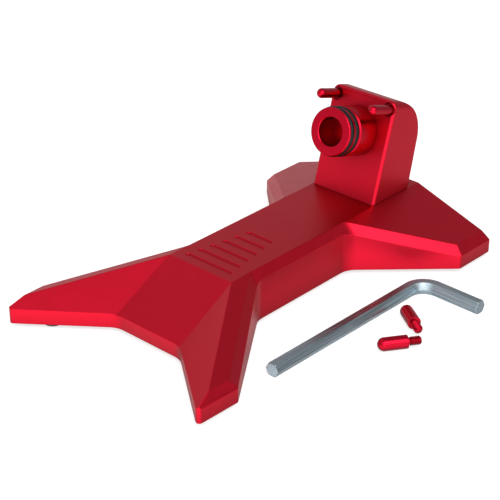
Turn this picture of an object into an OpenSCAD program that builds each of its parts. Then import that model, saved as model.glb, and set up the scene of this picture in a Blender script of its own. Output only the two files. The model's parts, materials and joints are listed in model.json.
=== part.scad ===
// Small bench stand for an engine: a milled four-legged base carries an upright bracket that leans
// back. A hollow spigot with two O-rings takes the engine's bore, and two locating pins above it
// stop the engine turning. A hex key and two spare pins lie beside it. Origin: bench level, in the
// middle of the box round the whole set. +Z up, spigot to -Y.

/* [Base] */
// Length of the base, front to back
base_l = 195.6; // [184:0.2:206]
// Width across the front toes
front_w = 116; // [110:1:124]
// Width across the rear toes
rear_w = 120; // [112:1:128]
// Height of the base, without its feet
base_h = 23.3; // [22:0.1:26]
// Width of the flat deck and of the bracket
deck_w = 36.6; // [36:0.1:38]
// Length of the straight waist
waist_l = 61; // [55:1:66]
// Distance of the waist's middle behind the base's middle
waist_back = 7.4; // [5:0.1:9]
// Slope of the leg tops, in degrees
leg_slope = 18.4; // [17:0.1:19.5]
// Length of a front toe
front_toe_l = 23.1; // [20:0.1:26]
// Length of a rear toe
rear_toe_l = 23.8; // [20:0.1:26]
// How far the front toes taper outwards from front to back
front_toe_taper = 0.7; // [0:0.1:2]
// Width of the notch between the front legs
notch_w = 37.8; // [34:0.1:40]
// Depth of the notch between the front legs
notch_l = 29.9; // [26:0.1:32]
// Wall height along the notch between the front legs
notch_wall = 6.7; // [6:0.1:8]
// Height of that wall where it reaches the front toes
toe_wall = 7.1; // [6:0.1:8]
// Distance of the deck's front edge ahead of the base's middle
deck_front = 35.9; // [33:0.1:39]
// Radius in the inside corners of the outline
web_r = 10; // [6:0.5:12]
// Radius on the outside corners of the outline
toe_r = 1.6; // [1:0.1:3]

/* [Edge chamfers] */
// Width and drop of the 45 degree chamfer along the waist
waist_cut = 3.5; // [3:0.1:4]
// Width of the chamfer along the legs and the rear toes
leg_cut_w = 3.7; // [3:0.1:4]
// Drop of the chamfer along the legs and the rear toes
leg_cut_h = 4.1; // [3.5:0.1:4.4]
// Width of the steeper chamfer on the front toes and along the back
end_cut_w = 2.4; // [2:0.1:3]
// Drop of the steeper chamfer on the front toes and along the back
end_cut_h = 4.4; // [4:0.1:4.8]

/* [Deck grooves] */
// Number of shallow milled grooves on the deck
groove_n = 6; // [3:1:6]
// Length of the longest groove
groove_l = 27; // [18:1:28]
// Width of a groove
groove_w = 2; // [1.5:0.1:2.6]
// Depth of a groove
groove_h = 0.6; // [0.4:0.1:0.9]
// Spacing of the grooves
groove_pitch = 6.5; // [5:0.5:7]
// How much shorter each groove is than the one in front of it
groove_step = 2.4; // [0:0.1:2.8]

/* [Upright bracket] */
// Lean of the bracket's face, in degrees
lean = 16.5; // [16.3:0.1:16.5]
// Lean of the bracket's back, in degrees
back_lean = 13; // [10:0.1:14]
// Distance of the bracket's face behind the base's middle, at the deck
face_y = 60.4; // [57:0.1:61.5]
// Thickness of the bracket at the deck
bracket_t = 25.6; // [25.2:0.1:27]
// Height of the bracket along its face
bracket_h = 49.6; // [49:0.1:54]
// Radius of the bracket's back where it rolls over to the top
bracket_back_r = 19; // [10:0.5:20]
// Radius of the bracket's top corners, seen from the front
bracket_corner_r = 3.6; // [3:0.1:5]
// Chamfer round the bracket's face
face_cut = 1; // [0.8:0.05:1.5]

/* [Spigot] */
// Height of the spigot's axis along the bracket's face
spigot_v = 31.3; // [30:0.1:32]
// Length of the spigot in front of the face
spigot_l = 20.2; // [19.5:0.1:24]
// Radius of the shoulder next to the face
shoulder_r = 11.8; // [11.7:0.05:12.5]
// Radius of the front of the spigot, which carries the O-rings
nose_r = 11.2; // [10.9:0.05:11.3]
// Radius of the blind hole in the front
relief_r = 6.7; // [6:0.1:7]
// Depth of the blind hole in the front
relief_l = 12; // [9:0.1:12.5]
// Section diameter of the O-rings
ring_d = 2.4; // [2.3:0.05:2.45]

/* [Pins] */
// Distance of each locating pin from the middle
pin_x = 15; // [14:0.1:15.2]
// Height of the locating pins along the face
pin_v = 45.3; // [44.5:0.1:45.4]
// Diameter of the fitted locating pins
pin_d = 4.7; // [4.6:0.1:5.2]
// Length of a fitted pin in front of the face
pin_l = 14.4; // [10:0.1:18]
// Diameter of the wider spare pins
spare_d = 6; // [5.2:0.1:6]
// Length of a spare pin without its thread
spare_l = 13.2; // [11:0.1:16]
// Depth of the round seats that the pins stand in
pin_seat_l = 0.8; // [0.4:0.1:0.9]
// Length of the pin threads
thread_l = 6; // [5:0.1:7]

/* [Hex key] */
// Size of the hex key across its flats
key_af = 6; // [5:1:6]
// Length of the long arm
key_long = 100; // [85:1:105]
// Length of the short arm
key_short = 32.5; // [32.5:0.5:42]
// Radius of the bend, at the middle of the bar
key_bend_r = 9; // [8:0.5:12]

/* [Feet] */
// How far the rubber feet stand out of the base
foot_gap = 2; // [1:0.1:3]
// Diameter of the rubber feet
foot_d = 9.6; // [8:0.1:11]

/* [Hidden] */
$fn = 96;

red = [0.70, 0.03, 0.08];
black = [0.04, 0.04, 0.045];
steel = [0.62, 0.66, 0.70];

eps = 0.5;             // overlap of cutting shapes past a surface
far = 300;             // reach of the cutting planes, longer than the base
deck_z = foot_gap + base_h;

// Corners of the right half of the base's outline, from the notch round to the rear toe
waist_x = deck_w / 2 + waist_cut;
notch_corner = [notch_w / 2, notch_l - base_l / 2];
toe_in = [front_w / 2 - front_toe_taper, -base_l / 2];
toe_out = [front_w / 2, front_toe_l - base_l / 2];
waist_front = [waist_x, waist_back - waist_l / 2];
waist_rear = [waist_x, waist_back + waist_l / 2];
heel_front = [rear_w / 2 - 0.3, base_l / 2 - rear_toe_l];
heel_rear = [rear_w / 2, base_l / 2];
deck_edge = [deck_w / 2, -deck_front];

// Fasteners between the base, the bracket and the spigot
bolt_r = 3;            // M6
bolt_head_r = 5;
bolt_head_h = 6;
bolt_sink = 6.5;       // depth of the counterbore under the base
bolt_l = 30;
bolt_x = 9.5;
bolt_y = face_y + 13.6;
dowel_r = 2.5;
dowel_l = 12;
dowel_y = [face_y + 6.6, face_y + 20.6];
draw_r = 4;            // M8 screw that draws the spigot onto the bracket
draw_head_r = 6.5;
draw_head_h = 8;
draw_l = 20;
draw_tip = relief_l + 2.4;                 // where its tail ends, from the front of the spigot
draw_seat = draw_tip + draw_l - spigot_l;  // depth of its seat behind the bracket's face
register_r = 8;        // centring boss on the spigot's back
register_l = 2.5;
fit_gap = 0.02;        // radial gap of the parts that stay put
turn_gap = 0.05;       // radial gap round the pin threads

// O-ring grooves, measured from the front of the spigot
groove_floor_r = nose_r - 1.95;
ring_slot_l = 2.5;
ring_1 = 1.2;          // start of the front groove
ring_2 = 5;            // start of the rear groove
shoulder_y = 7.5;      // start of the shoulder
shoulder_cut = 0.7;
nose_cut = 0.4;

// Pins
thread_r = 2;          // M4
pin_neck_l = 0.8;      // relief between body and thread
pin_neck_r = 1.55;

// Feet, under the toes
foot_sink = 1.5;
foot_front = [46, -80.6];
foot_rear = [49, 85];

// Where the loose pieces lie on the bench
key_corner = [54.9, 50.6];
key_turn = -1;
spare_front_at = [73.2, -5];
spare_front_turn = 56;
spare_rear_at = [63.2, 27.2];
spare_rear_turn = -35;

// ---- geometry helpers ----

function unit(v) = v / norm(v);
function left_of(p, q) = unit([p.y - q.y, q.x - p.x]);
function rim_z(p) = base_h - tan(leg_slope) * max(0, abs(p.x) - deck_w / 2);

// Half the angle in the corner p of an outline that runs a, p, b
function half_angle(a, p, b) = acos(unit(a - p) * unit(b - p)) / 2;

// Centre of the arc of radius r in that corner, and where the arc meets the side p to b
function fillet_mid(a, p, b, r) = p + unit(unit(a - p) + unit(b - p)) * r / sin(half_angle(a, p, b));
function fillet_end(a, p, b, r) = p + unit(b - p) * r / tan(half_angle(a, p, b));

// Points of that arc, in n steps
function fillet(a, p, b, r, n) =
    let (mid = fillet_mid(a, p, b, r))
    let (s = fillet_end(b, p, a, r) - mid, e = fillet_end(a, p, b, r) - mid)
    let (turn = atan2(s.x * e.y - s.y * e.x, s * e))
    [for (i = [0:n]) mid + [s.x * cos(turn * i / n) - s.y * sin(turn * i / n),
                            s.x * sin(turn * i / n) + s.y * cos(turn * i / n)]];

function flip(p) = [-p.x, p.y];

// Middle of the box round the whole set, from the rear left toe to the hex key and from the front
// toes to the back of the base
rear_toe_x = fillet_mid(heel_front, heel_rear, flip(heel_rear), toe_r).x + toe_r;
front_toe_y = fillet_mid(notch_corner, toe_in, toe_out, toe_r).y - toe_r;
middle = [(key_corner.x + key_short - rear_toe_x) / 2, (front_toe_y + base_l / 2) / 2];

module placed() {
    translate([-middle.x, -middle.y, 0]) children();
}

// Everything on the upper side of the plane through a, b and c
module above(a, b, c, reach = far) {
    u = unit(b - a);
    n = unit(cross(b - a, c - a));
    v = cross(n, u);
    multmatrix([[u.x, v.x, n.x, a.x], [u.y, v.y, n.y, a.y], [u.z, v.z, n.z, a.z], [0, 0, 0, 1]])
        translate([-reach, -reach, 0]) cube([2 * reach, 2 * reach, reach]);
}

// The chamfer along the outline edge p to q is w wide and goes h down from the rim. This is where
// the rim lies at one end of that edge, and the normal of the chamfer.
function rim_point(end, p, q, w) =
    let (inner = end + w * left_of(p, q))
    [inner.x, inner.y, rim_z(inner)];
function cut_normal(p, q, w, h) =
    let (top = rim_point(p, p, q, w))
    unit(cross([p.x, p.y, top.z - h] - top, rim_point(q, p, q, w) - top));

module edge_cut(p, q, w, h, reach = far) {
    top = rim_point(p, p, q, w);
    above(top, [p.x, p.y, top.z - h], rim_point(q, p, q, w), reach);
}

// What stays in the valley at q, where the chamfers along p to q and q to s meet, to make it round
module valley(p, q, s, cut_1, cut_2) {
    steps = 6;
    sunk = 0.3;        // how far its edges reach below both chamfers
    reach_down = 14;   // its reach along the valley from the level of the deck
    reach_up = 3;
    n1 = cut_normal(p, q, cut_1.x, cut_1.y);
    n2 = cut_normal(q, s, cut_2.x, cut_2.y);
    m = cross(n1, n2);
    up = unit(m) * sign(m.z);
    d1 = n1 * rim_point(q, p, q, cut_1.x);
    d2 = n2 * rim_point(q, q, s, cut_2.x);
    foot = (d1 * cross(n2, m) + d2 * cross(m, n1)) / (m * m);
    at = foot + up * (base_h - foot.z) / up.z;
    u = cross(up, n1) * sign(cross(up, n1) * [p.x - q.x, p.y - q.y, 0]);
    w = cross(up, n2) * sign(cross(up, n2) * [s.x - q.x, s.y - q.y, 0]);
    v = cross(up, u);
    side = [w * u, w * v];
    arc = fillet([1, 0], [0, 0], side, web_r, steps);
    section = [each arc, arc[steps] - sunk * [n2 * u, n2 * v],
               -unit([1, 0] + side), arc[0] - sunk * [0, n1 * v]];
    multmatrix([[u.x, v.x, up.x, at.x], [u.y, v.y, up.y, at.y], [u.z, v.z, up.z, at.z], [0, 0, 0, 1]])
        translate([0, 0, -reach_down]) linear_extrude(reach_down + reach_up) polygon(section);
}

// The frame of the leaning bracket: x across, y into the bracket, z up its face
module on_bracket() {
    translate([0, face_y, deck_z]) rotate([-lean, 0, 0]) children();
}

// A drilled hole or turned part that runs along the bracket frame's y axis
module along_y(x, z, y = 0) {
    translate([x, y, z]) rotate([-90, 0, 0]) children();
}

module both_sides() {
    children();
    mirror([1, 0, 0]) children();
}

// ---- base ----

module base_outline() {
    right = [
        fillet(flip(notch_corner), notch_corner, toe_in, web_r, 10),
        fillet(notch_corner, toe_in, toe_out, toe_r, 8),
        fillet(toe_in, toe_out, waist_front, toe_r, 6),
        fillet(toe_out, waist_front, waist_rear, web_r, 8),
        fillet(waist_front, waist_rear, heel_front, web_r, 8),
        fillet(waist_rear, heel_front, heel_rear, toe_r, 6),
        fillet(heel_front, heel_rear, flip(heel_rear), toe_r, 8)
    ];
    points = [for (corner = right) each corner];
    n = len(points);
    polygon([each points, for (i = [1:n]) flip(points[n - i])]);
}

// The roof of the front: a sloping middle facet between the two inner leg facets
module front_roof_cut() {
    d = [deck_edge.x, deck_edge.y, base_h];
    t3 = [notch_corner.x, notch_corner.y, notch_wall];
    t4 = [toe_in.x, toe_in.y, toe_wall];
    intersection() {
        above([0, d.y, base_h], [0, t3.y, notch_wall], d);
        above(d, t3, t4);
        mirror([1, 0, 0]) above(d, t3, t4);
    }
}

// The chamfers of one side, with a round valley at both ends of the waist
module side_cut() {
    leg_cut = [leg_cut_w, leg_cut_h];
    difference() {
        intersection() {
            edge_cut(toe_out, waist_front, leg_cut_w, leg_cut_h);
            edge_cut(waist_front, waist_rear, waist_cut, waist_cut);
            edge_cut(waist_rear, heel_front, leg_cut_w, leg_cut_h);
        }
        valley(toe_out, waist_front, waist_rear, leg_cut, [waist_cut, waist_cut]);
        valley(waist_front, waist_rear, heel_front, [waist_cut, waist_cut], leg_cut);
    }
}

module leg_roof_cut() {
    edge = [deck_w / 2, 0, base_h];
    above(edge, edge + [cos(leg_slope), 0, -sin(leg_slope)], edge + [0, 1, 0]);
}

module deck_grooves() {
    for (i = [0:groove_n - 1]) {
        half = (groove_l - groove_step * i - groove_w) / 2;
        translate([0, 5.5 - deck_front + i * groove_pitch, base_h - groove_h]) {
            translate([-half, -groove_w / 2, 0]) cube([2 * half, groove_w, groove_h + eps]);
            for (x = [-half, half]) translate([x, 0, 0]) cylinder(h = groove_h + eps, d = groove_w);
        }
    }
}

module base_plate() {
    rear_deck = [deck_w / 2, base_l / 2];
    reach = 60;
    color(red) placed() translate([0, 0, foot_gap]) difference() {
        linear_extrude(base_h) base_outline();
        front_roof_cut();
        both_sides() {
            leg_roof_cut();
            side_cut();
            edge_cut(toe_in, toe_out, end_cut_w, end_cut_h, reach);
            edge_cut(heel_front, heel_rear, leg_cut_w, leg_cut_h, reach);
            edge_cut(heel_rear, rear_deck, end_cut_w, end_cut_h);
        }
        edge_cut(rear_deck, flip(rear_deck), end_cut_w, end_cut_h);
        deck_grooves();
        for (x = [-bolt_x, bolt_x]) translate([x, bolt_y, -eps]) {
            cylinder(h = base_h + 2 * eps, r = bolt_r + 0.3);
            cylinder(h = bolt_sink + eps, r = bolt_head_r + 0.5);
        }
        for (y = dowel_y) translate([0, y, base_h - dowel_l / 2 - 0.5])
            cylinder(h = dowel_l, r = dowel_r + fit_gap);
        both_sides() for (at = [foot_front, foot_rear])
            translate([at.x, at.y, -eps]) cylinder(h = foot_sink + eps, d = foot_d + 4 * fit_gap);
    }
}

// ---- bracket ----

// Side view of the bracket: x runs into the bracket from its face, y up the face
module bracket_side() {
    r = bracket_back_r;
    front = [face_cut, bracket_h];
    heel = [bracket_t, bracket_t * tan(lean)];
    back_top = [bracket_t - (bracket_h - heel.y) * tan(lean - back_lean), bracket_h];
    mid = fillet_mid(front, back_top, heel, r);
    difference() {
        polygon([[0, 0], heel, back_top, front, [0, bracket_h - face_cut]]);
        difference() {
            polygon([mid, fillet_end(front, back_top, heel, r), back_top + [1, -1], back_top + [1, 1],
                     fillet_end(heel, back_top, front, r) + [0, 1], fillet_end(heel, back_top, front, r)]);
            translate(mid) circle(r);
        }
    }
}

module bracket_corner_cut() {
    r = bracket_corner_r;
    difference() {
        translate([deck_w / 2 - r, -1, bracket_h - r]) cube([r + 1, bracket_t + 2, r + 1]);
        along_y(deck_w / 2 - r, bracket_h - r) {
            cylinder(h = face_cut, r1 = r - face_cut, r2 = r);
            translate([0, 0, face_cut]) cylinder(h = bracket_t + 2, r = r);
        }
    }
}

module bracket_blank() {
    w = deck_w / 2;
    difference() {
        intersection() {
            rotate([90, 0, 90]) linear_extrude(deck_w, center = true) bracket_side();
            translate([0, 0, -1]) linear_extrude(bracket_h + 2)
                polygon([[-w, face_cut], [face_cut - w, 0], [w - face_cut, 0], [w, face_cut],
                         [w, bracket_t + 1], [-w, bracket_t + 1]]);
        }
        both_sides() bracket_corner_cut();
    }
}

module upright_bracket() {
    color(red) placed() difference() {
        on_bracket() difference() {
            bracket_blank();
            along_y(0, spigot_v, -eps) {
                cylinder(h = register_l + eps, r = register_r + fit_gap);
                cylinder(h = bracket_t + 1, r = draw_r + 0.4);
            }
            along_y(0, spigot_v, draw_seat) cylinder(h = bracket_t, r = draw_head_r + 0.75);
            for (x = [-pin_x, pin_x]) along_y(x, pin_v, -eps) {
                cylinder(h = pin_seat_l + eps, r = spare_d / 2 + turn_gap);
                cylinder(h = pin_seat_l + thread_l + 1 + eps, r = thread_r + turn_gap);
            }
        }
        for (x = [-bolt_x, bolt_x]) translate([x, bolt_y, deck_z - eps])
            cylinder(h = bolt_l + bolt_sink - base_h + 1 + eps, r = bolt_r + fit_gap);
        for (y = dowel_y) translate([0, y, deck_z - eps])
            cylinder(h = dowel_l / 2 + 0.5 + eps, r = dowel_r + fit_gap);
    }
}

// ---- spigot ----

// Half section of the spigot; x is the radius, y runs from the front back to the bracket
module spigot_section() {
    polygon([
        [relief_r + nose_cut, 0], [nose_r - nose_cut, 0], [nose_r, nose_cut],
        [nose_r, ring_1], [groove_floor_r, ring_1],
        [groove_floor_r, ring_1 + ring_slot_l], [nose_r, ring_1 + ring_slot_l],
        [nose_r, ring_2], [groove_floor_r, ring_2],
        [groove_floor_r, shoulder_y], [shoulder_r - shoulder_cut, shoulder_y],
        [shoulder_r, shoulder_y + shoulder_cut], [shoulder_r, spigot_l],
        [register_r, spigot_l], [register_r, spigot_l + register_l],
        [draw_r + fit_gap, spigot_l + register_l], [draw_r + fit_gap, draw_tip - 0.4],
        [0, draw_tip - 0.4], [0, relief_l], [relief_r, relief_l], [relief_r, nose_cut]
    ]);
}

module mount_spigot() {
    color(red) placed() on_bracket() along_y(0, spigot_v, -spigot_l) rotate_extrude() spigot_section();
}

module o_ring(start) {
    color(black) placed() on_bracket() along_y(0, spigot_v, start + ring_slot_l / 2 - spigot_l)
        rotate_extrude() translate([groove_floor_r + ring_d / 2, 0]) circle(d = ring_d, $fn = 48);
}

module o_ring_front() o_ring(ring_1);
module o_ring_rear() o_ring(ring_2);

// ---- pins ----

// A round-nosed pin with a threaded tail; the nose points to -z and the body ends at z = 0
module pin(d, body_l) {
    translate([0, 0, -body_l + d / 2]) {
        sphere(d = d);
        cylinder(h = body_l - d / 2, d = d);
    }
    cylinder(h = pin_neck_l, r = pin_neck_r);
    translate([0, 0, pin_neck_l - 0.01]) cylinder(h = thread_l - pin_neck_l - 0.29, r = thread_r);
    translate([0, 0, thread_l - 0.31]) cylinder(h = 0.31, r1 = thread_r, r2 = thread_r - 0.31);
}

module fitted_pin(side) {
    color(red) placed() on_bracket() along_y(side * pin_x, pin_v, pin_seat_l)
        pin(pin_d, pin_l + pin_seat_l);
}

module locating_pin_left() fitted_pin(-1);
module locating_pin_right() fitted_pin(1);

// A spare pin lying on the bench, its nose tip at the given place
module loose_pin(at, turn) {
    color(red) placed() translate([at.x, at.y, spare_d / 2]) rotate([0, 90, turn])
        translate([0, 0, spare_l]) pin(spare_d, spare_l);
}

module spare_pin_front() loose_pin(spare_front_at, spare_front_turn);
module spare_pin_rear() loose_pin(spare_rear_at, spare_rear_turn);

// ---- fasteners ----

// Socket head screw; its tail points to -z and the underside of the head is at z = 0
module socket_screw(r, l, head_r, head_h, af) {
    bevel = 0.4;
    difference() {
        union() {
            cylinder(h = head_h - bevel, r = head_r);
            translate([0, 0, head_h - bevel]) cylinder(h = bevel, r1 = head_r, r2 = head_r - bevel);
            translate([0, 0, 0.5 - l]) cylinder(h = l, r = r);
            translate([0, 0, -l]) cylinder(h = 0.5, r1 = r - 0.5, r2 = r);
        }
        translate([0, 0, head_h / 2]) cylinder(h = head_h, r = af / sqrt(3), $fn = 6);
    }
}

module spigot_screw() {
    color(black) placed() on_bracket() along_y(0, spigot_v, draw_seat)
        socket_screw(draw_r, draw_l, draw_head_r, draw_head_h, key_af);
}

module bracket_screws() {
    color(black) placed() for (x = [-bolt_x, bolt_x]) translate([x, bolt_y, foot_gap + bolt_sink])
        rotate([180, 0, 0]) socket_screw(bolt_r, bolt_l, bolt_head_r, bolt_head_h, 5);
}

module bracket_dowels() {
    color(steel) placed() for (y = dowel_y) translate([0, y, deck_z - dowel_l / 2]) {
        translate([0, 0, 0.4]) cylinder(h = dowel_l - 0.8, r = dowel_r);
        cylinder(h = 0.4, r1 = dowel_r - 0.4, r2 = dowel_r);
        translate([0, 0, dowel_l - 0.4]) cylinder(h = 0.4, r1 = dowel_r, r2 = dowel_r - 0.4);
    }
}

// ---- feet ----

module foot(at) {
    r = foot_d / 2;
    round_r = 0.8;
    color(black) placed() translate([at.x, at.y, 0]) rotate_extrude() {
        translate([0, round_r]) square([r, foot_gap + foot_sink - round_r]);
        square([r - round_r, round_r + 0.1]);
        intersection() {
            translate([r - round_r, round_r]) circle(round_r, $fn = 32);
            square([r, round_r + 0.1]);
        }
    }
}

module foot_front_left() foot(flip(foot_front));
module foot_front_right() foot(foot_front);
module foot_rear_left() foot(flip(foot_rear));
module foot_rear_right() foot(foot_rear);

// ---- hex key ----

// A straight hexagonal bar along +z with a chamfered far end
module hex_bar(l) {
    r = key_af / sqrt(3);
    end_cut = 0.4;
    intersection() {
        cylinder(h = l, r = r, $fn = 6);
        union() {
            cylinder(h = l - end_cut, r = r + 1);
            translate([0, 0, l - end_cut]) cylinder(h = end_cut, r1 = r + 0.05, r2 = r + 0.05 - end_cut);
        }
    }
}

module hex_key() {
    color(steel) placed() translate([key_corner.x, key_corner.y, key_af / 2]) rotate([0, 0, key_turn]) {
        translate([0, -key_bend_r, 0]) rotate([90, 0, 0]) hex_bar(key_long - key_bend_r);
        translate([key_bend_r, 0, 0]) rotate([0, 90, 0]) rotate([0, 0, 90]) hex_bar(key_short - key_bend_r);
        translate([key_bend_r, -key_bend_r, 0]) rotate([0, 0, 90]) rotate_extrude(angle = 90)
            translate([key_bend_r, 0]) circle(r = key_af / sqrt(3), $fn = 6);
    }
}

base_plate();
upright_bracket();
mount_spigot();
spigot_screw();
o_ring_front();
o_ring_rear();
locating_pin_left();
locating_pin_right();
bracket_screws();
bracket_dowels();
foot_front_left();
foot_front_right();
foot_rear_left();
foot_rear_right();
spare_pin_front();
spare_pin_rear();
hex_key();
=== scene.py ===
"""Looks of the engine stand: red anodised aluminium, rubber rings and feet, steel hex key.

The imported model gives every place. The visible metal parts are rebuilt here with rounded edges,
turned profiles and real threads; each new piece stands for its CAD node and rides on its body.
"""

import json
from math import cos, pi, radians, sin

import bmesh
import bpy
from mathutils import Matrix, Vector


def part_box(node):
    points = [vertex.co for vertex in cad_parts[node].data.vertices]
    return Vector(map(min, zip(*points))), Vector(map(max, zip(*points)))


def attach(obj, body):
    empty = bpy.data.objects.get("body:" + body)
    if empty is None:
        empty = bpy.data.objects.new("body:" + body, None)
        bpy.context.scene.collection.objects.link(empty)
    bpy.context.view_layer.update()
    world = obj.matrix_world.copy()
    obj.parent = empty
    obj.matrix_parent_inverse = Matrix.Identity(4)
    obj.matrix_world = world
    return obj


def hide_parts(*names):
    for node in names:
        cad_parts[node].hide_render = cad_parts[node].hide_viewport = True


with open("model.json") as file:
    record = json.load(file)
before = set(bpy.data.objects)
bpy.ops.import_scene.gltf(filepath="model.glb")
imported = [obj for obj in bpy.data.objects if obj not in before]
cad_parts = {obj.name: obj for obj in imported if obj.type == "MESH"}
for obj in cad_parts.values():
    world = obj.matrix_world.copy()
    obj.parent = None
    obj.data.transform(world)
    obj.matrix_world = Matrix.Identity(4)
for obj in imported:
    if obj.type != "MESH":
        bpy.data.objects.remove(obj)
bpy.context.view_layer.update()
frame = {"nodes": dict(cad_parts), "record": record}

MM = 0.001
scene = bpy.context.scene
mounts = {mount["name"]: mount for mount in frame["record"]["mounts"]}


# ---- shader nodes ----

# sockets of a Mix node, which depend on its data type
MIX_FACTOR = 0
MIX_NUMBERS = (2, 3)
MIX_COLOURS = (6, 7)
MIXED_NUMBER = 0
MIXED_COLOUR = 2


class Shader:
    """A node material that is built up one node at a time."""

    def __init__(self, name):
        self.material = bpy.data.materials.new(name)
        self.material.use_nodes = True
        self.tree = self.material.node_tree
        self.tree.nodes.clear()
        self.surface = self.add("ShaderNodeBsdfPrincipled")
        output = self.add("ShaderNodeOutputMaterial")
        self.tree.links.new(self.surface.outputs[0], output.inputs["Surface"])
        self.place = self.add("ShaderNodeTexCoord").outputs["Object"]

    def add(self, kind, **settings):
        """A new node with the given settings."""
        node = self.tree.nodes.new(kind)
        for key, value in settings.items():
            setattr(node, key, value)
        return node

    def put(self, value, entry):
        """Links an output to an input, or makes anything else the input's value."""
        if isinstance(value, bpy.types.NodeSocket):
            self.tree.links.new(value, entry)
        else:
            entry.default_value = value

    def feed(self, node, **values):
        """Sets inputs by name, with _ for a space."""
        for key, value in values.items():
            self.put(value, node.inputs[key.replace("_", " ")])

    def noise(self, size, detail=2.0, stretch=(1.0, 1.0, 1.0), place=None):
        """Noise whose blobs measure about size millimetres, drawn out along an axis by stretch."""
        mapping = self.add("ShaderNodeMapping")
        scale = [1.0 / (size * MM * s) for s in stretch]
        self.feed(mapping, Vector=place or self.place, Scale=scale)
        texture = self.add("ShaderNodeTexNoise")
        self.feed(texture, Vector=mapping.outputs[0], Scale=1.0, Detail=detail)
        return texture.outputs["Fac"]

    def between(self, factor, low, high):
        """Maps a noise value, which mostly lies between 0.3 and 0.7, to the range low to high."""
        node = self.add("ShaderNodeMapRange")
        self.feed(node, Value=factor, From_Min=0.3, From_Max=0.7, To_Min=low, To_Max=high)
        return node.outputs[0]

    def mix(self, factor, first, second):
        """A blend of two colours: factor 0 gives the first."""
        node = self.add("ShaderNodeMix", data_type="RGBA")
        self.put(factor, node.inputs[MIX_FACTOR])
        for value, index in zip((first, second), MIX_COLOURS):
            self.put(value, node.inputs[index])
        return node.outputs[MIXED_COLOUR]

    def vectors(self, operation, *values):
        """A vector operation on outputs or on fixed vectors."""
        node = self.add("ShaderNodeVectorMath", operation=operation)
        for value, entry in zip(values, node.inputs):
            self.put(value, entry)
        return node

    def bump(self, height, depth):
        """Bump of depth millimetres."""
        node = self.add("ShaderNodeBump")
        self.feed(node, Height=height, Strength=1.0, Distance=depth * MM)
        return node.outputs[0]

    def paint_crease_shade(self, colour, reach, darkest):
        """Painted shade: darkens a colour in creases and bores, where ambient occlusion finds
        nearby surfaces. It looks reach millimetres round each point.
        """
        crease = self.add("ShaderNodeAmbientOcclusion", samples=8)
        self.feed(crease, Distance=reach * MM)
        share = self.add("ShaderNodeMapRange")
        self.feed(share, Value=crease.outputs["AO"], From_Min=0.25, From_Max=0.95)
        self.feed(share, To_Min=darkest, To_Max=1.0)
        dark = self.vectors("SCALE", colour)
        self.feed(dark, Scale=share.outputs[0])
        return dark.outputs[0]

    def principled(self, **values):
        """Sets the surface's inputs by name and gives the finished material."""
        self.feed(self.surface, **values)
        return self.material


def shade(colour, factor):
    """A colour times a factor, with full alpha."""
    return tuple(channel * factor for channel in colour) + (1.0,)


def anodised(name, colour, roughness, coat, grain):
    """Fine-blasted aluminium with a dyed oxide layer: satin metal under a thin clear coat."""
    look = Shader(name)
    cloud = look.noise(size=28.0, detail=3.0)
    speck = look.noise(size=0.9, detail=3.0)
    tint = look.mix(cloud, shade(colour, 0.94), shade(colour, 1.05))
    tint = look.mix(look.between(speck, 0.0, 0.5), tint, shade(colour, 0.9))
    # painted shade: the red is darkened in creases and where parts meet
    tint = look.paint_crease_shade(tint, reach=14.0, darkest=0.45)
    satin = look.between(look.noise(size=7.0, detail=4.0), roughness - 0.025, roughness + 0.025)
    blast = look.bump(look.noise(size=0.32), grain)
    return look.principled(
        Base_Color=tint, Metallic=1.0, Roughness=satin, Normal=blast,
        Coat_Weight=coat, Coat_Roughness=roughness + 0.05, Coat_IOR=1.6,
    )


def turned(name, colour, roughness, coat, axis_mount):
    """Turned and dyed aluminium: fine tool marks run round the axis of the given mount."""
    look = Shader(name)
    axis = Vector(mounts[axis_mount]["axis"])
    on_axis = Vector(mounts[axis_mount]["pos_m"])
    offset = look.vectors("SUBTRACT", look.place, on_axis).outputs[0]
    along = look.vectors("DOT_PRODUCT", offset, axis).outputs["Value"]
    across = look.vectors("CROSS_PRODUCT", offset, axis).outputs[0]
    radius = look.vectors("LENGTH", across).outputs["Value"]
    lay = look.add("ShaderNodeCombineXYZ")
    look.feed(lay, X=along, Y=radius)
    marks = look.noise(size=0.22, place=lay.outputs[0])
    cloud = look.noise(size=6.0)
    tint = look.mix(cloud, shade(colour, 0.92), shade(colour, 1.06))
    # painted shade: the turned red is darkened in the bore and in creases
    tint = look.paint_crease_shade(tint, reach=9.0, darkest=0.3)
    gloss = look.between(marks, roughness - 0.04, roughness + 0.05)
    return look.principled(
        Base_Color=tint, Metallic=1.0, Roughness=gloss, Normal=look.bump(marks, 0.003),
        Coat_Weight=coat, Coat_Roughness=roughness, Coat_IOR=1.6,
    )


def rubber(name, colour, roughness, grain, shine):
    """Moulded rubber with a fine skin; shine scales its reflection."""
    look = Shader(name)
    cloud = look.noise(size=3.0, detail=3.0)
    tint = look.mix(cloud, shade(colour, 0.8), shade(colour, 1.3))
    matt = look.between(look.noise(size=1.2, detail=3.0), roughness - 0.05, roughness + 0.06)
    skin = look.bump(look.noise(size=0.18), grain)
    return look.principled(
        Base_Color=tint, Roughness=matt, Normal=skin, Specular_IOR_Level=shine,
    )


# streaks in steel: their width in millimetres, and how far they are drawn out
STREAK = 0.6
STREAK_STRETCH = 40.0
ALONG_X = (STREAK_STRETCH, 1.0, 1.0)
ALONG_Y = (1.0, STREAK_STRETCH, 1.0)
ALONG_Z = (1.0, 1.0, STREAK_STRETCH)
# millimetres over which the streaks turn at the key's bend
TURN_L = 5.0


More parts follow.
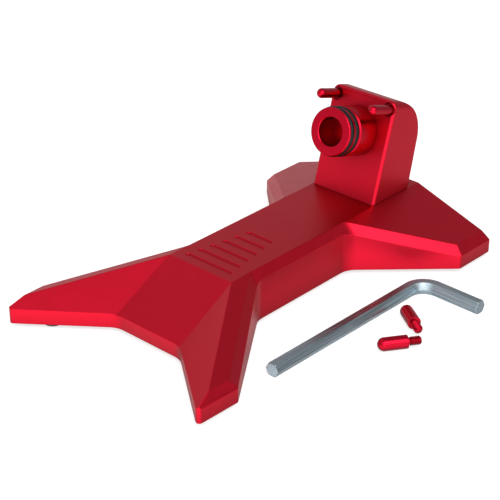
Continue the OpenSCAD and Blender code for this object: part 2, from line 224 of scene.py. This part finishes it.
def steel(name, colour, roughness, stretch, grain, turn_x=None):
    """Drawn or ground steel with streaks along the stretched axis; past turn_x they run along x."""
    look = Shader(name)
    streak = look.noise(STREAK, detail=3.0, stretch=stretch)
    if turn_x is not None:
        split = look.add("ShaderNodeSeparateXYZ")
        look.feed(split, Vector=look.place)
        past = look.add("ShaderNodeMapRange")
        look.feed(past, Value=split.outputs[0], From_Min=turn_x, From_Max=turn_x + TURN_L * MM)
        other = look.noise(STREAK, detail=3.0, stretch=ALONG_X)
        streak = look.mix(past.outputs[0], streak, other)
    cloud = look.noise(size=9.0, detail=3.0)
    tint = look.mix(look.between(streak, 0.0, 1.0), shade(colour, 0.6), shade(colour, 1.2))
    tint = look.mix(look.between(cloud, 0.0, 0.35), tint, shade(colour, 0.8))
    satin = look.between(streak, roughness - 0.06, roughness + 0.06)
    return look.principled(
        Base_Color=tint, Metallic=1.0, Roughness=satin, Normal=look.bump(streak, grain),
    )


def oxide(name, colour, roughness):
    """Black oxide on steel, slightly oily."""
    look = Shader(name)
    cloud = look.noise(size=2.5, detail=4.0)
    tint = look.mix(cloud, shade(colour, 0.7), shade(colour, 1.6))
    satin = look.between(look.noise(size=0.8, detail=3.0), roughness - 0.08, roughness + 0.08)
    return look.principled(
        Base_Color=tint, Metallic=0.85, Roughness=satin, Normal=look.bump(cloud, 0.01),
    )


RED = (0.60, 0.0075, 0.026)
TURNED_RED = (0.52, 0.004, 0.022)
# millimetres from the key's left side to its bend
KEY_BEND_INSET = 9.0

base_red = anodised("base_anodised_red", RED, roughness=0.36, coat=0.05, grain=0.012)
bracket_red = anodised("bracket_anodised_red", RED, roughness=0.36, coat=0.05, grain=0.012)
spigot_red = turned(
    "spigot_turned_red", TURNED_RED, roughness=0.27, coat=0.03, axis_mount="spigot_shoulder",
)
left_pin_red = turned(
    "left_pin_turned_red", TURNED_RED, roughness=0.25, coat=0.03, axis_mount="left_locating_pin",
)
right_pin_red = turned(
    "right_pin_turned_red", TURNED_RED, roughness=0.25, coat=0.03, axis_mount="right_locating_pin",
)
spare_red = anodised("spare_pin_red", TURNED_RED, roughness=0.25, coat=0.05, grain=0.002)
ring_black = rubber(
    "ring_nitrile_black", (0.004, 0.004, 0.0045), roughness=0.36, grain=0.004, shine=0.2,
)
foot_black = rubber(
    "foot_rubber_black", (0.02, 0.02, 0.021), roughness=0.55, grain=0.02, shine=0.4,
)
key_steel = steel(
    "key_nickel_steel", (0.37, 0.45, 0.50), roughness=0.27, stretch=ALONG_Y, grain=0.006,
    turn_x=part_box("hex_key")[0].x + KEY_BEND_INSET * MM,
)
dowel_steel = steel(
    "dowel_ground_steel", (0.55, 0.56, 0.58), roughness=0.22, stretch=ALONG_Z, grain=0.003,
)
screw_black = oxide("screw_black_oxide", (0.03, 0.03, 0.033), roughness=0.38)


# ---- mesh helpers, in millimetres ----

WELD = 0.002
POLE_R = 1e-6
# degrees between faces that count as one
MERGE_ANGLE = 0.4
# the most of an edge that rounding a corner of a profile may take
CORNER_SHARE = 0.4


def new_piece(name, bm, material, body, node):
    """An object of bm in place of a CAD node, smooth with flat faces kept flat, riding on body."""
    bmesh.ops.recalc_face_normals(bm, faces=bm.faces)
    mesh = bpy.data.meshes.new(name)
    bm.to_mesh(mesh)
    bm.free()
    for polygon in mesh.polygons:
        polygon.use_smooth = True
    mesh.materials.append(material)
    piece = bpy.data.objects.new(name, mesh)
    scene.collection.objects.link(piece)
    normals = piece.modifiers.new("flat_faces", "WEIGHTED_NORMAL")
    normals.mode = "FACE_AREA"
    normals.weight = 100
    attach(piece, body)
    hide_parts(node)


def rounded_copy(node, name, radius, material, body, steps=2, sharp=18.0):
    """A copy of a CAD node, welded and merged into whole faces, with its sharp edges rounded."""
    bm = bmesh.new()
    bm.from_mesh(frame["nodes"][node].data)
    bmesh.ops.remove_doubles(bm, verts=bm.verts, dist=WELD * MM)
    bmesh.ops.dissolve_degenerate(bm, edges=bm.edges, dist=WELD * MM)
    flat = radians(MERGE_ANGLE)
    bmesh.ops.dissolve_limit(bm, verts=bm.verts, edges=bm.edges, angle_limit=flat)
    edges = [e for e in bm.edges if e.is_manifold and e.calc_face_angle() > radians(sharp)]
    bmesh.ops.bevel(
        bm, geom=edges, offset=radius * MM, offset_type="OFFSET", segments=steps,
        profile=0.5, affect="EDGES", clamp_overlap=False,
    )
    new_piece(name, bm, material, body, node)


def soften(corners, radius, steps=4):
    """Rounds the corners of a profile: each becomes a short quadratic curve, the ends stay."""
    out = [corners[0]]
    for i in range(1, len(corners) - 1):
        here = Vector(corners[i])
        before = Vector(corners[i - 1])
        after = Vector(corners[i + 1])
        room = CORNER_SHARE * min((before - here).length, (after - here).length)
        reach = min(radius, room)
        start = here + (before - here).normalized() * reach
        end = here + (after - here).normalized() * reach
        for step in range(steps + 1):
            t = step / steps
            out.append(tuple(start * (1 - t) ** 2 + here * 2 * t * (1 - t) + end * t**2))
    out.append(corners[-1])
    return out


def axes_of(direction):
    """Two directions square to the given one and to each other."""
    side = direction.cross(Vector((0, 0, 1)))
    if side.length < 0.01:
        side = direction.cross(Vector((0, 1, 0)))
    side.normalize()
    return side, direction.cross(side)


def revolve(profile, origin, direction, segments=128, closed=False, swell=None):
    """Turns a profile of (along, radius) pairs in millimetres round an axis.

    A point at radius 0 is a pole. swell(along, angle) adds to the radius, for threads.
    """
    bm = bmesh.new()
    direction = Vector(direction).normalized()
    origin = Vector(origin)
    across, up = axes_of(direction)
    rings = []
    for along, radius in profile:
        middle = origin + direction * along * MM
        if radius < POLE_R:
            rings.append([bm.verts.new(middle)])
            continue
        ring = []
        for k in range(segments):
            angle = 2 * pi * k / segments
            r = radius + (swell(along, angle) if swell else 0.0)
            ring.append(bm.verts.new(middle + (across * cos(angle) + up * sin(angle)) * r * MM))
        rings.append(ring)
    pairs = list(zip(rings, rings[1:]))
    if closed:
        pairs.append((rings[-1], rings[0]))
    for first, second in pairs:
        for k in range(segments):
            n = (k + 1) % segments
            if len(first) == 1:
                bm.faces.new((first[0], second[k], second[n]))
            elif len(second) == 1:
                bm.faces.new((first[k], second[0], first[n]))
            else:
                bm.faces.new((first[k], second[k], second[n], first[n]))
    return bm


# ---- base and bracket ----

BASE_EDGE = 0.3
BRACKET_EDGE = 0.25

rounded_copy("base_plate", "base", BASE_EDGE, base_red, "stand")
rounded_copy(
    "upright_bracket", "bracket", BRACKET_EDGE, bracket_red, "stand",
)


# ---- spigot: lengths are millimetres from its front, along its axis ----

SPIGOT_L = 20.2
NOSE_R = 11.2
SHOULDER_R = 11.8
RELIEF_R = 6.7
RELIEF_L = 12.0
SCREW_HOLE_R = 4.02
SCREW_HOLE_END = 14.0
REGISTER_R = 8.0
REGISTER_L = 2.5
RING_SLOT_DEPTH = 1.95
GROOVE_FLOOR_R = NOSE_R - RING_SLOT_DEPTH
RING_D = 2.4
RING_SLOT_L = 2.5
RING_STARTS = (1.2, 5.0)
SHOULDER_START = 7.5
SHOULDER_CUT = 0.7
NOSE_CUT = 0.4
SPIGOT_EDGE = 0.12

spigot_axis = Vector(mounts["spigot_shoulder"]["axis"])
shoulder_middle = Vector(mounts["spigot_shoulder"]["pos_m"])
shoulder_middle_depth = (SHOULDER_START + SHOULDER_CUT + SPIGOT_L) / 2
spigot_front = shoulder_middle + spigot_axis * shoulder_middle_depth * MM
into_spigot = -spigot_axis

spigot_profile = [
    (RELIEF_L, 0.0), (RELIEF_L, RELIEF_R), (NOSE_CUT, RELIEF_R),
    (0.0, RELIEF_R + NOSE_CUT), (0.0, NOSE_R - NOSE_CUT), (NOSE_CUT, NOSE_R),
    (RING_STARTS[0], NOSE_R), (RING_STARTS[0], GROOVE_FLOOR_R),
    (RING_STARTS[0] + RING_SLOT_L, GROOVE_FLOOR_R), (RING_STARTS[0] + RING_SLOT_L, NOSE_R),
    (RING_STARTS[1], NOSE_R), (RING_STARTS[1], GROOVE_FLOOR_R),
    (SHOULDER_START, GROOVE_FLOOR_R), (SHOULDER_START, SHOULDER_R - SHOULDER_CUT),
    (SHOULDER_START + SHOULDER_CUT, SHOULDER_R), (SPIGOT_L, SHOULDER_R),
    (SPIGOT_L, REGISTER_R), (SPIGOT_L + REGISTER_L, REGISTER_R),
    (SPIGOT_L + REGISTER_L, SCREW_HOLE_R), (SCREW_HOLE_END, SCREW_HOLE_R), (SCREW_HOLE_END, 0.0),
]
spigot_mesh = revolve(soften(spigot_profile, SPIGOT_EDGE), spigot_front, into_spigot)
new_piece("spigot", spigot_mesh, spigot_red, "stand", "mount_spigot")


RING_POINTS = 32
PARTING_POINTS = (5, 21)
FLASH_H = 0.02


def o_ring(name, node, start):
    """A round ring with the faint parting line of its mould."""
    middle = start + RING_SLOT_L / 2
    centre_r = GROOVE_FLOOR_R + RING_D / 2
    section = []
    for k in range(RING_POINTS):
        angle = 2 * pi * k / RING_POINTS
        flash = FLASH_H if k in PARTING_POINTS else 0.0
        r = RING_D / 2 - FLASH_H + flash
        section.append((middle + r * cos(angle), centre_r + r * sin(angle)))
    bm = revolve(section, spigot_front, into_spigot, closed=True)
    new_piece(name, bm, ring_black, "stand", node)


o_ring("ring_front", "o_ring_front", RING_STARTS[0])
o_ring("ring_rear", "o_ring_rear", RING_STARTS[1])


# ---- pins: along runs in millimetres from the round nose to the threaded tail ----

THREAD_L = 6.0
THREAD_R = 2.0
THREAD_PITCH = 0.7
THREAD_DEPTH = 0.38
THREAD_FADE = 0.35
# shares of half a turn of the thread, seen from the middle of its crest
CREST_SHARE = 0.12
FLANK_SHARE = 0.6
TAIL_CUT_L = 0.3
TAIL_CUT = 0.25
NECK_L = 0.8
NECK_R = 1.55
NECK_FLARE = 0.1
BODY_EDGE = 0.15
BODY_EDGE_MIDDLE = 0.04
PIN_SEAT_L = 0.8
SPARE_BODY_L = 13.2
NOSE_STEPS = 16
RINGS_PER_TURN = 14
PIN_SEGMENTS = 64


def thread_swell(start, end):
    """The thread's cut below its crests, as a function for revolve()."""

    def swell(along, angle):
        if not start <= along <= end:
            return 0.0
        turn = ((along - start) / THREAD_PITCH - angle / (2 * pi)) % 1.0
        flank = min(1.0, max(0.0, (abs(turn - 0.5) * 2 - CREST_SHARE) / FLANK_SHARE))
        fade = min(1.0, (along - start) / THREAD_FADE, (end - along) / THREAD_FADE)
        return -THREAD_DEPTH * (1.0 - fade * (1.0 - flank))

    return swell


def pin_profile(body_r, body_l):
    """Round nose, plain body, relief groove, threaded tail with a chamfered end."""
    nose = []
    for k in range(NOSE_STEPS + 1):
        angle = k * pi / 2 / NOSE_STEPS
        nose.append((body_r - body_r * cos(angle), body_r * sin(angle)))
    nose[0] = (0.0, 0.0)
    body = [
        (body_l - BODY_EDGE, body_r),
        (body_l - BODY_EDGE_MIDDLE, body_r - BODY_EDGE_MIDDLE),
        (body_l, body_r - BODY_EDGE),
    ]
    neck = [
        (body_l, NECK_R + NECK_FLARE),
        (body_l + NECK_FLARE / 2, NECK_R),
        (body_l + NECK_L - NECK_FLARE, NECK_R),
    ]
    start = body_l + NECK_L
    end = body_l + THREAD_L - TAIL_CUT_L
    count = int((end - start) / THREAD_PITCH * RINGS_PER_TURN)
    thread = [(start + (end - start) * k / count, THREAD_R) for k in range(count + 1)]
    tail_end = body_l + THREAD_L
    tail = [(tail_end, THREAD_R - THREAD_DEPTH - TAIL_CUT), (tail_end, 0.0)]
    return nose + body + neck + thread + tail, thread_swell(start, end)


def pin(name, node, tip, direction, body_r, body_l, material, body):
    """A pin from its tip, with a body of the given radius and length ahead of its thread."""
    profile, swell = pin_profile(body_r, body_l)
    bm = revolve(profile, tip, direction, segments=PIN_SEGMENTS, swell=swell)
    new_piece(name, bm, material, body, node)


def fitted_pin(side, material):
    """A pin whose plain length in front of the bracket is its mount's; its foot sits in a seat."""
    mount = mounts[side + "_locating_pin"]
    axis = Vector(mount["axis"])
    r = mount["dims"]["r_mm"]
    length = mount["dims"]["length_mm"]
    tip = Vector(mount["pos_m"]) + axis * (length / 2 + r) * MM
    body_l = length + r + PIN_SEAT_L
    pin(side + "_pin", "locating_pin_" + side, tip, -axis, r, body_l, material, side + "_pin")


fitted_pin("left", left_pin_red)
fitted_pin("right", right_pin_red)


def lying_angle(depth, r, length):
    """The angle from the x axis at which a pin's box is depth deep, in y, by halving."""
    low, high = 0.0, pi / 2
    for _ in range(40):
        middle = (low + high) / 2
        # the nose's ball is at one end of the box and the thread's rim at the other
        if r + (length - r) * sin(middle) + THREAD_R * cos(middle) < depth:
            low = middle
        else:
            high = middle
    return low


def spare_pin(name, node, nose_low_y):
    """A spare pin on the bench. Its CAD box gives its radius and its direction."""
    low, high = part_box(node)
    r = (high.z - low.z) / 2 / MM
    angle = lying_angle((high.y - low.y) / MM, r, SPARE_BODY_L + THREAD_L)
    turn = 1 if nose_low_y else -1
    direction = Vector((cos(angle), turn * sin(angle), 0))
    nose_y = low.y + r * MM if nose_low_y else high.y - r * MM
    nose_middle = Vector((low.x + r * MM, nose_y, low.z + r * MM))
    tip = nose_middle - direction * r * MM
    pin(name, node, tip, direction, r, SPARE_BODY_L, spare_red, "stand")


spare_pin("spare_pin_1", "spare_pin_front", True)
spare_pin("spare_pin_2", "spare_pin_rear", False)


# ---- feet ----

FOOT_STEPS = 6
FOOT_SEGMENTS = 64
FOOT_EDGE = 0.7
FOOT_RING_DEPTH = 0.35
# shares of the foot's radius, at the bench and at the ring's floor
RING_OUTSIDE = (0.62, 0.56)
RING_INSIDE = (0.3, 0.36)


def rubber_foot(name, node):
    """A moulded disc with a rounded rim and a shallow ring in its underside."""
    low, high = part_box(node)
    r = (high.x - low.x) / 2 / MM
    h = (high.z - low.z) / MM
    ring_floor = h - FOOT_RING_DEPTH
    profile = [
        (0.0, 0.0), (0.0, r), (h, r),
        (h, r * RING_OUTSIDE[0]), (ring_floor, r * RING_OUTSIDE[1]),
        (ring_floor, r * RING_INSIDE[1]), (h, r * RING_INSIDE[0]), (h, 0.0),
    ]
    top = Vector(((low.x + high.x) / 2, (low.y + high.y) / 2, high.z))
    outline = soften(profile, FOOT_EDGE, steps=FOOT_STEPS)
    bm = revolve(outline, top, (0, 0, -1), segments=FOOT_SEGMENTS)
    new_piece(name, bm, foot_black, "stand", node)


for corner in ("front_left", "front_right", "rear_left", "rear_right"):
    rubber_foot("rubber_foot_" + corner, "foot_" + corner)


# ---- screws, dowels and hex key ----

SCREW_EDGE = 0.12
KEY_EDGE = 0.16

for screws, pieces in (("spigot_screw", "spigot_draw_screw"), ("bracket_screws", "bracket_bolts")):
    rounded_copy(screws, pieces, SCREW_EDGE, screw_black, "stand")
rounded_copy(
    "hex_key", "hex_wrench", KEY_EDGE, key_steel, "stand", steps=3, sharp=30.0,
)

# the dowels are hidden in the joint, so their CAD node is shown as it is
dowels = frame["nodes"]["bracket_dowels"]
dowels.material_slots[0].link = "OBJECT"
dowels.material_slots[0].material = dowel_steel


# ---- studio ----

# metres
FLOOR_SIZE = 4.0
# millimetres under the feet
FLOOR_GAP = 0.05
# glow that brings the floor to white in the camera's view
WHITE_TO_CAMERA = 0.68
# reflected rays see the floor bright in front and dim behind
BRIGHT_SIDE = (30, 0)
FACING_RANGE = (-0.3, 0.86)
FLOOR_LIGHT = (0.1, 1.4)


def view_direction(azimuth, elevation):
    """From the object towards a viewer; azimuth 0 looks along +Y, with +X to the right."""
    az, el = radians(azimuth), radians(elevation)
    return Vector((sin(az) * cos(el), -cos(az) * cos(el), sin(el)))


def floor():
    """A pale paper floor just under the feet, on the stage and not part of the object."""
    bm = bmesh.new()
    bmesh.ops.create_grid(bm, x_segments=1, y_segments=1, size=FLOOR_SIZE)
    mesh = bpy.data.meshes.new("floor")
    bm.to_mesh(mesh)
    bm.free()
    plane = bpy.data.objects.new("floor", mesh)
    plane.location.z = -FLOOR_GAP * MM
    scene.collection.objects.link(plane)
    paper = Shader("white_paper")
    fibre = paper.noise(size=0.6, detail=3.0)
    white = paper.mix(fibre, (0.48, 0.48, 0.48, 1.0), (0.51, 0.51, 0.51, 1.0))
    incoming = paper.add("ShaderNodeNewGeometry").outputs["Incoming"]
    facing = paper.vectors("DOT_PRODUCT", incoming, -view_direction(*BRIGHT_SIDE))
    lit = paper.add("ShaderNodeMapRange")
    paper.feed(lit, Value=facing.outputs["Value"])
    paper.feed(lit, From_Min=FACING_RANGE[0], From_Max=FACING_RANGE[1])
    paper.feed(lit, To_Min=FLOOR_LIGHT[0], To_Max=FLOOR_LIGHT[1])
    glow = paper.add("ShaderNodeMix")
    paper.put(paper.add("ShaderNodeLightPath").outputs["Is Camera Ray"], glow.inputs[MIX_FACTOR])
    for value, index in zip((lit.outputs[0], WHITE_TO_CAMERA), MIX_NUMBERS):
        paper.put(value, glow.inputs[index])
    paper.principled(
        Base_Color=white, Roughness=0.9, Specular_IOR_Level=0.1,
        Emission_Color=(1, 1, 1, 1), Emission_Strength=glow.outputs[MIXED_NUMBER],
    )
    mesh.materials.append(paper.material)


def aim(thing, target, azimuth, elevation, distance):
    """Places an object at a distance in metres from the target, looking at it."""
    towards = view_direction(azimuth, elevation)
    thing.location = target + towards * distance
    thing.rotation_euler = towards.to_track_quat("Z", "Y").to_euler()
    scene.collection.objects.link(thing)


def softbox(name, target, azimuth, elevation, distance, size, radiance):
    """A square soft light aimed at the target, whose surface has the given radiance."""
    light = bpy.data.lights.new(name, "AREA")
    light.shape = "RECTANGLE"
    light.size = size
    light.size_y = size
    light.energy = radiance * pi * size * size
    aim(bpy.data.objects.new(name, light), target, azimuth, elevation, distance)


# pairs of the cosine of the angle from the middle of a glow, and the light there
GLOW_LEVELS = ((-1.0, 0.38), (0.2, 0.40), (0.45, 0.5), (0.65, 0.8), (0.82, 1.55), (1.0, 2.2))
LEFT_LEVELS = ((-1.0, 0.0), (0.4, 0.02), (0.58, 0.1), (0.72, 0.3), (1.0, 0.3))
# a ramp's colours end at 1, so levels are stored as shares of this
BRIGHTEST = 2.5


def world_math(tree, operation, first, second):
    """An operation on an output and either another output or a number."""
    node = tree.nodes.new("ShaderNodeMath")
    node.operation = operation
    tree.links.new(first, node.inputs[0])
    if isinstance(second, bpy.types.NodeSocket):
        tree.links.new(second, node.inputs[1])
    else:
        node.inputs[1].default_value = second
    return node.outputs[0]


def world_ramp(tree, place, towards, levels):
    """Light that depends on the angle from one direction."""
    facing = tree.nodes.new("ShaderNodeVectorMath")
    facing.operation = "DOT_PRODUCT"
    tree.links.new(place, facing.inputs[0])
    facing.inputs[1].default_value = towards
    share = tree.nodes.new("ShaderNodeMapRange")
    share.inputs["From Min"].default_value = -1.0
    tree.links.new(facing.outputs["Value"], share.inputs["Value"])
    ramp = tree.nodes.new("ShaderNodeValToRGB")
    ramp.color_ramp.interpolation = "EASE"
    while len(ramp.color_ramp.elements) < len(levels):
        ramp.color_ramp.elements.new(0.5)
    for element, (cosine, level) in zip(ramp.color_ramp.elements, levels):
        element.position = (cosine + 1) / 2
        element.color = (level / BRIGHTEST,) * 3 + (1.0,)
    tree.links.new(share.outputs[0], ramp.inputs[0])
    return world_math(tree, "MULTIPLY", ramp.outputs[0], BRIGHTEST)


def studio_world():
    """Pale surroundings: a broad glow in front and to the right, a weaker one on the left."""
    world = bpy.data.worlds.new("studio")
    world.use_nodes = True
    tree = world.node_tree
    tree.nodes.clear()
    place = tree.nodes.new("ShaderNodeTexCoord").outputs["Generated"]
    glow = world_ramp(tree, place, view_direction(45, 30), GLOW_LEVELS)
    left = world_ramp(tree, place, view_direction(-75, 25), LEFT_LEVELS)
    total = world_math(tree, "ADD", glow, left)
    # a camera ray counts as 1, so the camera sees white
    seen = tree.nodes.new("ShaderNodeLightPath").outputs["Is Camera Ray"]
    strength = world_math(tree, "MAXIMUM", total, seen)
    background = tree.nodes.new("ShaderNodeBackground")
    background.inputs["Color"].default_value = (1.0, 1.0, 1.0, 1.0)
    tree.links.new(strength, background.inputs["Strength"])
    output = tree.nodes.new("ShaderNodeOutputWorld")
    tree.links.new(background.outputs[0], output.inputs[0])
    scene.world = world


def photo_camera(target, azimuth, elevation, distance, focal_length):
    """A camera with a long lens on a 36 mm wide sensor."""
    lens = bpy.data.cameras.new("camera")
    lens.lens = focal_length
    lens.sensor_width = 36.0
    lens.clip_start = 0.01
    camera = bpy.data.objects.new("camera", lens)
    aim(camera, target, azimuth, elevation, distance)
    scene.camera = camera


floor()
softbox(
    "key_light", Vector((-13.7, -0.8, 30.0)) * MM, azimuth=72, elevation=50,
    distance=1.2, size=0.8, radiance=2.1,
)
studio_world()
photo_camera(
    Vector((-23.51, 5.85, 13.6)) * MM, azimuth=42.32, elevation=28.39,
    distance=678.6 * MM, focal_length=107.37,
)
scene.view_settings.view_transform = "Standard"
